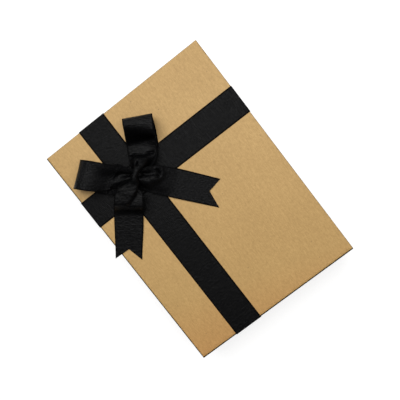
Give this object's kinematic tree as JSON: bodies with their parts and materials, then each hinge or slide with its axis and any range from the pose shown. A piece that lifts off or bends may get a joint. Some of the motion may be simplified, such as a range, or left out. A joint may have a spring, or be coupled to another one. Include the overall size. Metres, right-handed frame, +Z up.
{
  "type": "gift box",
  "caption": "Flat rectangular brown paper-wrapped board gift box with a lift-off lid, crossed black ribbon bands round the lid and a hand-tied ribbon bow at their off-centre crossing.",
  "frame": {"origin": "middle of the flat underside of the base, on the surface the box stands on", "axes": "+X along the long side, away from the ribbon crossing; +Y along the short side, away from the ribbon crossing; +Z up through the lid"},
  "size_m": [0.2138, 0.1629, 0.0612],
  "materials": {
    "greyboard": "matt grey board",
    "kraft_paper": "matt brown paper with fine fibres",
    "stay_tape": "matt paper tape",
    "liner_paper": "matt brown paper",
    "black_ribbon": "black woven ribbon with fine cross ribs",
    "tape": "double-sided tape",
    "glue": "set hot glue"
  },
  "bodies": {
    "base": {"base_floor_board": "greyboard", "base_front_wall_board": "greyboard", "base_back_wall_board": "greyboard", "base_left_wall_board": "greyboard", "base_right_wall_board": "greyboard", "base_corner_stays": "stay_tape", "base_wrap": "kraft_paper", "base_floor_liner": "liner_paper"},
    "lid": {"lid_top_board": "greyboard", "lid_front_wall_board": "greyboard", "lid_back_wall_board": "greyboard", "lid_left_wall_board": "greyboard", "lid_right_wall_board": "greyboard", "lid_corner_stays": "stay_tape", "lid_wrap": "kraft_paper", "lid_liner": "liner_paper", "lengthwise_ribbon": "black_ribbon", "crosswise_ribbon": "black_ribbon", "ribbon_tape_pads": "tape", "bow_glue_dot": "glue", "bow_knot": "black_ribbon", "bow_upper_loop": "black_ribbon", "bow_left_loop": "black_ribbon", "bow_right_tail": "black_ribbon", "bow_lower_tail": "black_ribbon"}
  },
  "joints": [
    {"name": "lid_lift", "type": "slide", "parent": "base", "child": "lid", "axis": [0, 0, 1], "range_m": [0, 0.06]}
  ]
}
